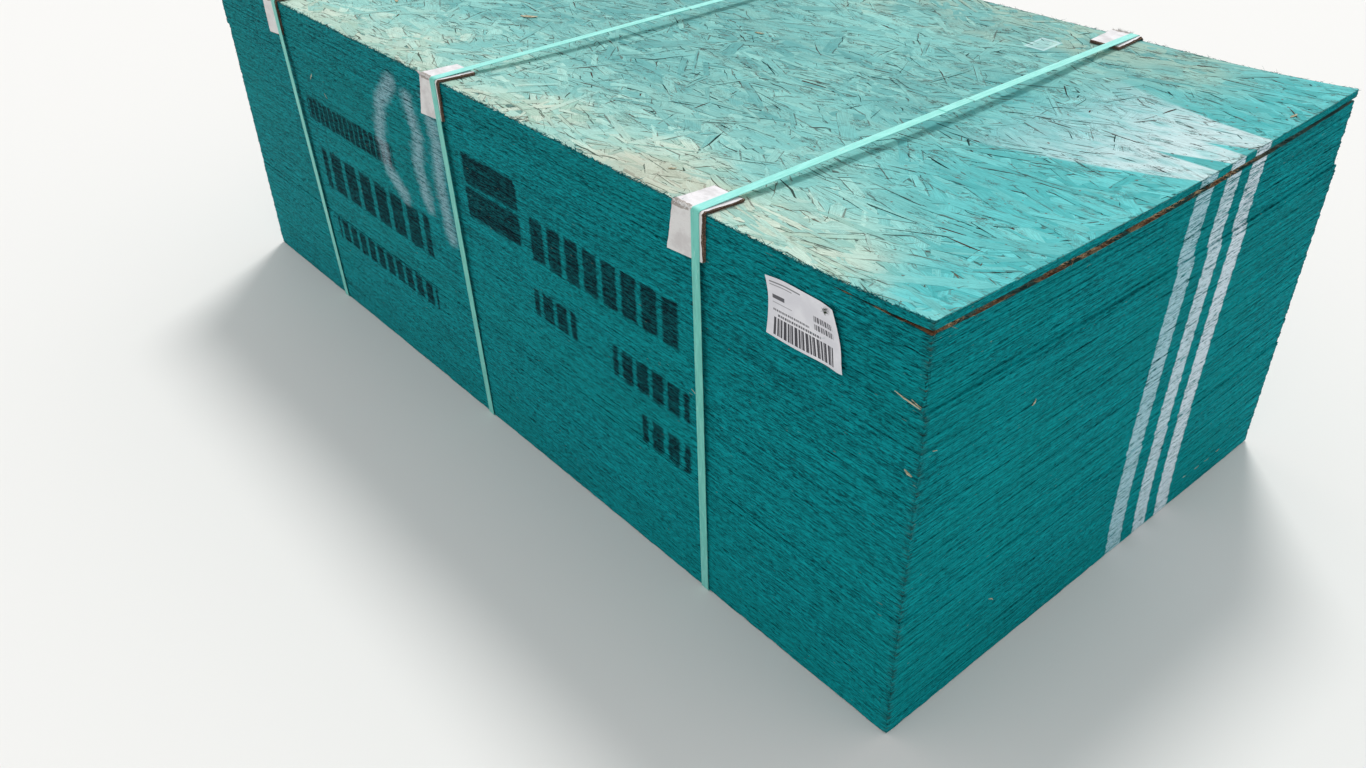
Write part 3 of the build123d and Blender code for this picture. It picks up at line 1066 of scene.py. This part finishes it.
def fuzz(count, low, high, lean, spread_out, size, draw, height=None, finish=0, thick=(0.22, 0.55)):
    """Spikes scattered over a box from low to high, pointing along lean with some spread."""
    base = draw.uniform(low, high, (count, 3))
    if height is not None:
        base[:, 2] = height(base[:, 0], base[:, 1]) - draw.uniform(0, 2.6, count) * MM
    other_way = [-1 if abs(v) == 1 else 1 for v in lean]
    direction = np.array(lean) * np.where(draw.random((count, 1)) < 0.5, 1, [other_way])
    direction = direction + draw.normal(0, 1, (count, 3)) * np.array(spread_out)
    length = uneven_sizes(size, 0.5, 2, 24, count, draw) * MM
    made = spikes(base, direction, length, draw.uniform(*thick, count) * MM, draw, finish)
    made[3]["recess"] = np.repeat(draw.uniform(0.2, 1, count), 4)
    return made


# %% [markdown]
# Each call below fills one long thin box: along the rims of the top, on the sides, at the upright
# corner and in the open gap under the curl.

# %% Raise the fibres
def under_curl(x, y):
    return felt_under(x, y) - 0.5 * MM


far, near = -1.214, 1.214
on_rim = [
    fuzz(3000, (far, top_front, 0), (near, top_front + 3.5 * MM, 0), (1, 0.0, 0.35), (0.2, 0.35, 0.3), 7,
         rng, felt_over, 0, (0.35, 0.95)),
    fuzz(900, (far, top_back - 1.5 * MM, 0), (near, top_back, 0), (1, 0.35, 0.15), (0.2, 0.3, 0.3), 7,
         rng, felt_over),
    fuzz(500, (top_end - 1.5 * MM, -0.606, 0), (top_end, 0.606, 0), (0.3, 1, 0.1), (0.3, 0.2, 0.3), 5,
         rng, felt_over),
]
on_sides = [
    fuzz(3600, (-1.21, front_y + 0.8 * MM, 0.01), (1.21, front_y + 1.3 * MM, 0.80),
         (1, -0.16, -0.2), (0.2, 0.08, 0.25), 8, rng),
    fuzz(1600, (-1.21, -front_y - 1.3 * MM, 0.01), (1.21, -front_y - 0.8 * MM, 0.80),
         (1, 0.16, -0.2), (0.2, 0.08, 0.25), 8, rng),
    fuzz(1100, (near_end_x - 2.4 * MM, -0.604, 0.01), (near_end_x - 1.6 * MM, 0.604, 0.79),
         (0.12, 1, 0.0), (0.06, 0.2, 0.12), 9, rng),
]
at_corner = fuzz(
    420, (near_end_x - 3 * MM, front_y + 1 * MM, 0.01), (near_end_x - 2 * MM, front_y + 2 * MM, 0.80),
    (0.5, -0.5, 1), (0.4, 0.4, 0.5), 4, rng)
in_gap = fuzz(
    700, (top_end - 4 * MM, -0.600, 0), (top_end - 0.5 * MM, 0.420, 0), (0.25, 1, -0.1), (0.2, 0.2, 0.2), 12,
    rng, under_curl, BARE, (0.4, 0.9))
piece_from("loose_fibres", [*on_rim, *on_sides, at_corner, in_gap], (edge_paint, bare_board))

# %% [markdown]
# A few splinters are large enough to be seen one by one. Each is a tapered bar along a short bent
# line: a long one where the lifts meet near the corner, pale chips on the sides, and flat slivers
# that lie loose on the top.

# %% Shape a splinter
pale_wood = Finish("pale split wood", 0.85, 0.15)
split_grain = pale_wood.grain((8, 8, 1.6), detail=2)
chip_colour = pale_wood.mix(split_grain.step(0.35, 0.65), (0.30, 0.27, 0.17), (0.60, 0.56, 0.42))
chip_wood = pale_wood.done(chip_colour, pale_wood.relief(split_grain, 0.3, 0.5))
print("pale wood:", len(pale_wood.nodes), "nodes")


def splinter(path, width, thick, facing):
    """A bar along a path in millimetres, widest in the middle; facing is the way its flat looks."""
    path, facing = np.array(path) * MM, np.array(facing, float)
    last = len(path) - 1
    points = []
    for here, place in enumerate(path):
        run = path[min(here + 1, last)] - path[max(here - 1, 0)]
        across = np.cross(run, facing)
        across = across / np.linalg.norm(across) * width / 2 * MM * (0.25 if here in (0, last) else 1.0)
        out = facing * thick / 2 * MM
        points += [place + across + out, place - across + out, place - across - out, place + across - out]
    faces = [(3, 2, 1, 0), tuple(4 * last + i for i in range(4))]
    faces += repeated([(i, (i + 1) % 4, 4 + (i + 1) % 4, 4 + i) for i in range(4)], last, 4)
    return np.array(points), faces, [0] * len(faces), {}


# %% [markdown]
# The places were chosen on the real stack and are written in millimetres. Each chip lies on
# its face and stands out from it by a millimetre or so, which is enough to catch the light.

# %% Place the splinters
front_mm, end_mm = front_y / MM, near_end_x / MM
on_front, on_end, on_top = (0, -1, 0), (1, 0, 0), (0, 0, 1)
# Width, thickness and the places along each chip: x, how far it stands out, height
front_chips = [
    (2.4, 0.8, [(1166, 0.4, 686), (1182, 1.2, 683.5), (1203, 1.4, 681), (1213, 0.8, 679)]),
    (1.8, 0.8, [(1196, 0.5, 687), (1208, 1.2, 683.5), (1214, 0.4, 682)]),
    (5.0, 1.2, [(1198, 0.6, 566), (1205, 1.3, 563), (1212, 0.6, 561)]),
    (3.0, 0.8, [(731, 0.5, 462), (742, 1.2, 458)]),
    (2.6, 0.8, [(-704, 0.5, 644), (-693, 1.2, 655), (-688, 0.6, 662)]),
    (3.0, 0.8, [(-636, 0.5, 626), (-622, 1.2, 617)]),
]
# The same on the near end: y, how far it stands out, height
end_chips = [
    (3.6, 0.8, [(-339, -0.8, 558), (-335, 0.2, 563), (-332, -0.6, 568)]),
    (3.4, 0.8, [(-582, -0.8, 597), (-574, 0.2, 595)]),
    (2.2, 0.8, [(-362, -0.8, 156), (-352, 0.3, 151), (-345, -0.4, 143)]),
]
# Thin chips low on the near end, behind the stripes: y, length, height
for start, length, height in (
        (312, 30, 52), (356, 44, 49), (410, 26, 47), (446, 38, 50), (498, 46, 46), (330, 20, 43), (470, 30, 41)):
    path = [(start, -0.9, height), (start + length / 2, -0.1, height - 0.5), (start + length, -0.9, height)]
    end_chips.append((1.5, 0.6, path))
chips = []
for width, thick, path in front_chips:
    chips.append(splinter([(x, front_mm - out, z) for x, out, z in path], width, thick, on_front))
for width, thick, path in end_chips:
    chips.append(splinter([(end_mm + out, y, z) for y, out, z in path], width, thick, on_end))
# Flat slivers on the top: x, y, turn, length, width
for x, y, turn, length, width in (
        (-313, -210, 0.5, 45, 12), (1190, 412, 1.3, 16, 5), (598, -531, 0.7, 15, 4),
        (150, 95, 0.2, 26, 6), (-640, -380, -0.4, 30, 7)):
    path = []
    for share, lifted in ((-1, 1.2), (-0.4, 1.6), (0.4, 1.9), (1, 3.4)):
        a = x + math.cos(turn) * length / 2 * share
        b = y + math.sin(turn) * length / 2 * share
        path.append((a, b, top_face(np.array(a * MM), np.array(b * MM)) / MM + lifted))
    chips.append(splinter(path, width, 0.8, on_top))
piece_from("splinters", chips, (chip_wood,))

# %% [markdown]
# ## The straps
#
# The straps are polyester band, pressed with a fine waffle so that it doesn't split. Their shape
# in the model is right, a closed loop pulled straight over the dished top, so they stay, and only
# get their finish. The waffle is two waves multiplied, and its troughs are painted darker as shade.
# The part on top is painted a lighter mint than the parts on the sides, as light on the top and
# shade on the sides, and a line of painted shade crosses it where the lap of the weld ends.

# %% Finish the straps
band = Finish("embossed strap", 0.42, 0.35)
waffle_wave = 2 * math.pi / (2.4 * MM)
ribs = [(line * waffle_wave).math("SINE") for line in (band.x, band.y, band.z)]
waffle = ribs[0] * (ribs[1] + ribs[2])
rubbed = band.grain((6, 40, 40)).step(0.35, 0.68)
# Painted light and shade: the top of the strap is a lighter mint than its sides.
shaded_mint_side = band.mix(rubbed, (0.140, 0.560, 0.475), (0.200, 0.670, 0.570))
lit_mint_top = band.mix(rubbed, (0.240, 0.760, 0.690), (0.330, 0.880, 0.820))
mint = band.mix(abs(band.y).step(0.616, 0.606), shaded_mint_side, lit_mint_top)
# Painted shade: the troughs of the waffle are darker.
mint = band.mix(waffle.step(-1.4, 1.4, 0.22, 0.0), mint, (0.120, 0.480, 0.390))
scuffs = band.grain((3, 22, 22), detail=2, shift=5.5).step(0.64, 0.72)
mint = band.mix(scuffs * 0.5, mint, (0.52, 0.80, 0.72))
# Painted shade: a dark line across the top where the lap of the weld ends.
lap_end_shade = abs(band.y - 0.0575).step(0.0022, 0.0012)
mint = band.mix(lap_end_shade * band.z.step(0.80, 0.805), mint, (0.020, 0.075, 0.062))
strap_finish = band.done(mint, band.relief(waffle, 0.25, 0.6))
for name in ("strap_left", "strap_middle", "strap_right"):
    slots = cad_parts[name].data.materials
    slots.clear()
    slots.append(strap_finish)
print("strap finish on 3 straps")

# %% [markdown]
# ## The edge protectors
#
# Where a strap goes over an edge, a folded piece of solid board keeps it from cutting in. It is
# made of plies of brown paper with one white face. It was torn to length, so the plies end
# raggedly and the brown shows. Along the fold the white face has cracked: there a value stored on
# the mesh, the crease, lets brown specks through.
#
# Each ply is built as a thin closed sheet on one path: up the side, round the fold and inward
# over the top. The path is read from the box of the model's protector, and every ply has an edge
# of its own.

# %% Mix the protector's faces
white_face = Finish("white paper face", 0.85, 0.2)
smudge = white_face.grain((40, 30, 34), detail=4).step(0.40, 0.66)
fibre = white_face.grain((3.5, 2, 2.5), shift=2.2)
# Painted light and shade: the top of the folded board is whiter than its sides.
shaded_white_side = white_face.mix(smudge, (0.75, 0.745, 0.735), (0.62, 0.60, 0.595))
lit_white_top = white_face.mix(smudge, (0.83, 0.82, 0.85), (0.66, 0.65, 0.67))
white = white_face.mix(abs(white_face.y).step(0.614, 0.606), shaded_white_side, lit_white_top)
white = white_face.mix(fibre.step(0.58, 0.70, 0, 0.35), white, (0.50, 0.46, 0.44))
crumbled = white_face.grain((12, 5, 5), shift=6.0)
cracked = (white_face.kept("crease") * crumbled).step(0.34, 0.43)
white = white_face.mix(cracked * 0.8, white, (0.30, 0.26, 0.23))
protector_white = white_face.done(white, white_face.relief(fibre, 0.4, 0.5))

ply = Finish("brown plies", 0.95, 0.1)
layers = ply.grain((30, 2.0, 2.0))
brown = ply.mix(layers.step(0.35, 0.65), (0.085, 0.055, 0.042), (0.240, 0.165, 0.120))
protector_brown = ply.done(brown, ply.relief(layers, 0.6, 0.7))
print("protector faces:", len(white_face.nodes) + len(ply.nodes), "nodes")

# %% [markdown]
# A ply is a grid of points, with one row for every step of the path. Three numbers say where a
# row lies: how far down the side, how far round the fold and how far inward, each a share of its
# leg. With them one formula serves all rows. The outermost ply also bulges a little, most of all
# on the fold, but not under the band.

# %% Lay out the rows of a ply
ply_count = 6
board_thick = 6.0 * MM
ply_thick = board_thick / ply_count
paper_gap = 0.05 * MM
band_half = 9.5 * MM
foot_short = 11 * MM        # how much shorter the torn foot is than the model's
foot_slant = 6.3 * MM       # how much further down its left end reaches
across_steps = 18
curls = 60

foot, fold, flap = np.linspace(1, 0, 16, endpoint=False), np.linspace(0, 1, 6), np.linspace(0, 1, 15)[1:]
down = np.concatenate([foot, 0 * fold, 0 * flap])[:, None]
turned = np.concatenate([0 * foot, fold, 0 * flap + 1])[:, None] * math.pi / 2
inward = np.concatenate([0 * foot, 0 * fold, flap])[:, None]
bulging = np.concatenate([
    0.35 + 0.50 * np.clip(1 - foot / 0.20, 0, 1), 0 * fold + 1,
    0.35 + 0.65 * np.clip(1 - flap / 0.15, 0, 1)])[:, None]
near_fold = np.clip(1 - (down + inward) / 0.12, 0, 1)
print("ply:", len(down), "rows,", ply_count, "plies")

# %% [markdown]
# A sheet of paper can't be a single face with nothing behind it, because its edge is seen. So the
# same grid is laid twice, a thickness apart, and a wall closes the rim all round.

# %% Close a thin sheet

def thick_sheet(inside, outside, flip=False):
    """Points of a thin closed sheet between two grids, and its inner, outer and rim faces."""
    rows, columns = inside.shape[:2]
    behind = rows * columns
    at = np.arange(behind).reshape(rows, columns)
    cells = np.stack([at[:-1, :-1], at[:-1, 1:], at[1:, 1:], at[1:, :-1]], -1).reshape(-1, 4)
    rim = np.concatenate([at[0], at[1:, -1], at[-1, -2::-1], at[-2:0:-1, 0]])
    after = np.roll(rim, -1)
    walls = np.column_stack([rim, after, after + behind, rim + behind])
    points = np.concatenate([inside.reshape(-1, 3), outside.reshape(-1, 3)])
    sides = (cells[:, ::-1], cells + behind, walls)
    return points, [(faces[:, ::-1] if flip else faces).tolist() for faces in sides]


# %% [markdown]
# Now the plies are laid on each other from the inside out. Their edges wander at random, and
# bigger curls of torn paper are raised beside the band, on the fold.

# %% Fold the protectors
def protector(name, side, strap_x, draw, cut):
    """Six torn plies folded over one long edge; side is -1 for the long side with the label.

    cut: how far it reaches left of the strap on top, how much more at the foot, and how far right.
    """
    low, high = (np.array(corner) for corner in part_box(name))
    outer, tip = (low[1], high[1]) if side < 0 else (high[1], low[1])
    face_y = outer - side * board_thick
    ledge_z = high[2] - board_thick
    drop, reach = ledge_z - low[2], abs(tip - face_y)
    fall_from, fall_to = (felt_over(np.array(strap_x), np.array(y)) for y in (face_y - side * 2 * MM, tip))
    rows = len(down)
    parts = []
    for number in range(ply_count):
        outermost = number == ply_count - 1
        foot_length = drop - foot_short + draw.normal(0, 0.8) * MM
        flap_length = reach + draw.normal(0, 0.8) * MM - (1.5 * MM if outermost else 0)
        ragged = [np.cumsum(draw.normal(0, 0.55, rows)) for _ in range(2)]
        ragged = [
            (line - np.linspace(line[0], line[-1], rows) + draw.normal(0, 0.35, rows))[:, None] * MM
            for line in ragged]
        left = 0.7 * ragged[0] - (cut[0] + cut[1] * down) * MM
        right = cut[2] * MM + ragged[1] - (1.2 * MM if outermost else 0)
        slope = np.linspace(0, 1, across_steps + 1)
        across = left + (right - left) * slope
        grids = []
        for level in (number * ply_thick + paper_gap, (number + 1) * ply_thick - paper_gap):
            if outermost and grids:
                clear = np.clip((np.abs(across) - band_half - 2 * MM) / (6 * MM), 0, 1)
                level = level + clear * bulging * np.abs(draw.normal(0, 0.55, across.shape)) * MM
            y = face_y + side * (level * np.cos(turned) - flap_length * inward)
            z = ledge_z + level * np.sin(turned) - (fall_from - fall_to) * inward
            z = z - (foot_length - slope * foot_slant) * down
            grids.append(np.stack(np.broadcast_arrays(strap_x + across, y, z), -1))
        points, (inner, outer_face, walls) = thick_sheet(*grids, flip=side > 0)
        finish_of = [1] * len(inner) + [0 if outermost else 1] * len(outer_face) + [1] * len(walls)
        left_part = np.clip((-across - band_half) / (6 * MM), 0, 1)
        right_part = np.clip((across - band_half) / (4 * MM), 0, 1)
        crease = (left_part + 0.5 * right_part) * near_fold
        parts.append((
            kept_inside(points), inner + outer_face + walls, finish_of, {"crease": np.tile(crease.ravel(), 2)}))
    base = np.column_stack([
        strap_x - draw.uniform(11, 51, curls) * MM, np.full(curls, face_y + side * (board_thick - 0.9 * MM)),
        ledge_z + board_thick - draw.uniform(0.8, 2.2, curls) * MM])
    direction = draw.normal(0, 1, (curls, 3)) * (1.0, 0.2, 0.5) + (0, side * 0.5, 0.4)
    length, thick = draw.uniform(4, 12, curls) * MM, draw.uniform(0.7, 2.3, curls) * MM
    parts.append(spikes(base, direction, length, thick, draw))
    return piece_from(f"{name}_plies", parts, (protector_white, protector_brown))


for place in ("left", "middle", "right"):
    for side, word in ((-1, "front"), (1, "back")):
        name = f"protector_{word}_{place}"
        cut = (67, -3, 9) if name == "protector_front_left" else (52, 20, 17)
        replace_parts(protector(name, side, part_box(name)[1][0] - 20 * MM, rng, cut), name)

# %% [markdown]
# ## The label
#
# One sheet of paper, stapled near its top. Its corners have curled off the boards. A grid of
# points is bent by a formula and given a thickness. It carries plain dark blocks and rows of even
# bars. Where a point lies on the flat paper is stored with it, so the blocks bend along with the
# sheet and could be replaced by others without touching its shape.

# %% Mix the paper and its plain marks
label_low = np.array(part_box("label")[0])
paper = Finish("label paper", 0.7, 0.25)
across_label, up_label, _ = paper.split(paper.kept("on_label", "Vector"))
paper_tone = paper.grain((50, 50, 40)).step(0.35, 0.65)
paper_tone = paper.mix(paper_tone, (0.80, 0.80, 0.84), (0.70, 0.70, 0.745))


def between(value, start, stop):
    """A mask that is 1 from start to stop, with soft ends, in millimetres."""
    middle, half = (start + stop) / 2, (stop - start) / 2
    return abs(value - middle).step(half + 0.2, half - 0.2)


def printed_block(left, right, low, high, pitch, fill):
    """A plain printed block on the label, solid or cut into bars of two even pitches."""
    ink = between(across_label, left, right) * between(up_label, low, high)
    if not pitch:
        return ink
    wide = (across_label / (pitch * 1.9)).math("FRACT").math("LESS_THAN", fill * 0.75)
    narrow = (across_label / (pitch * 1.15)).math("FRACT").math("LESS_THAN", fill * 0.55)
    return ink * wide.math("MAXIMUM", narrow)


# Left, right, lower and upper edge, pitch of the bars (0 for a solid block), filled share, strength
blocks = [
    (16, 150, 5, 36, 4.3, 0.64, 0.97), (112, 154, 50, 59, 2.9, 0.6, 0.9), (112, 154, 63, 72, 2.9, 0.6, 0.9),
    (12, 42, 67, 73.5, 0, 1, 0.9), (8, 84, 93, 95.2, 0, 1, 0.75), (8, 62, 88.5, 90.2, 0, 1, 0.6),
    (12, 60, 60, 61.4, 0, 1, 0.5), (12, 100, 47, 50.4, 2.4, 0.7, 0.85), (24, 124, 39, 43, 2.8, 0.7, 0.9),
]
for *block, strength in blocks:
    paper_tone = paper.mix(printed_block(*block) * strength, paper_tone, (0.045, 0.045, 0.055))
label_paper = paper.done(paper_tone)
print("label:", len(blocks), "plain blocks")

# %% [markdown]
# A cloth simulation could bend the paper. A formula is steadier: `u` and `v` run from 0 to 1 over
# the sheet, its outline is drawn between four corners, and how far it stands off the boards is a
# gentle wave with a curl at two corners and along its right end.

# %% Bend the label
label_columns, label_rows = 44, 28
flat_width, flat_height = 168, 102
paper_thick = 0.25 * MM
low_left, low_right, high_right, high_left = (4, 0), (167, 5), (138, 100), (3, 102)
u, v = np.meshgrid(np.linspace(0, 1, label_columns + 1), np.linspace(0, 1, label_rows + 1))


def in_outline(way):
    """Places between the four corners, in millimetres along the side (0) or upward (1)."""
    low = (1 - u) * low_left[way] + u * low_right[way]
    high = (1 - u) * high_left[way] + u * high_right[way]
    return (1 - v) * low + v * high


def curled(away, reach, height):
    """How far a corner stands off, at so many widths of the paper away from it."""
    return height * np.clip(1 - away / reach, 0, 1) ** 1.6


plane_x = in_outline(0) + 4.0 * np.sin(np.pi * v) * ((1 - u) ** 3 + u ** 4)
plane_z = in_outline(1) + np.sin(np.pi * u) * (1.5 * v ** 2 - 3.0 * (1 - v) ** 2)
stand_off = 0.5 + 0.5 * np.sin(5 * u + 2 * v) ** 2
stand_off = stand_off + curled(np.hypot(u * 1.5, (1 - v) * 1.1), 0.42, 4.6)
stand_off = stand_off + curled(np.hypot((1 - u) * 1.6, v * 1.1), 0.55, 5.0)
stand_off = np.minimum(stand_off + 3.4 * np.clip((u - 0.78) / 0.22, 0, 1) ** 1.5, 6.6)
label_face = np.stack([
    label_low[0] + plane_x * MM, front_y - 0.2 * MM - stand_off * MM, label_low[2] + plane_z * MM], -1)
label_points, label_sides = thick_sheet(label_face + (0, paper_thick, 0), label_face)
label_faces = [face for faces in label_sides for face in faces]
on_label = np.stack([u * flat_width, v * flat_height, np.zeros_like(u)], -1).reshape(-1, 3)
label_part = (label_points, label_faces, [0] * len(label_faces), {"on_label": np.tile(on_label, (2, 1))})
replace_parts(piece_from("paper_label", [label_part], (label_paper,)), "label")
print("label stands off by up to", round(float(stand_off.max()), 1), "mm")

# %% [markdown]
# The staple is a short flat wire, which the splinter's function can make too. A tuft of torn
# fibres is caught in it.

# %% Staple the label
steel = Finish("staple wire", 0.35, 0.5)
steel.shader.inputs["Metallic"].default_value = 0.9
staple_wire = steel.done((0.42, 0.42, 0.44, 1))
tuft = Finish("fibres in the staple", 0.9, 0.1).done((0.030, 0.045, 0.022, 1))
staple_x, staple_z = label_low[0] / MM + 124, label_low[2] / MM + 93
wire_path = [(staple_x + way * 6, front_mm - 6.2 + abs(way) * 0.8, staple_z + way * 3) for way in (-1, 0, 1)]
caught_count = 34
tuft_middle = np.array([staple_x + 1, front_mm - 5.2, staple_z - 1]) * MM
caught = spikes(
    tuft_middle + rng.normal(0, 1.5, (caught_count, 3)) * (MM, 0.15 * MM, MM),
    rng.normal(0, 1, (caught_count, 3)) * (0.8, 0.05, 1.2),
    rng.uniform(2.5, 7, caught_count) * MM, rng.uniform(0.45, 1.0, caught_count) * MM, rng, 1)
wire = splinter(wire_path, 1.6, 0.8, on_front)
piece_from("label_staple", [wire, caught], (staple_wire, tuft))
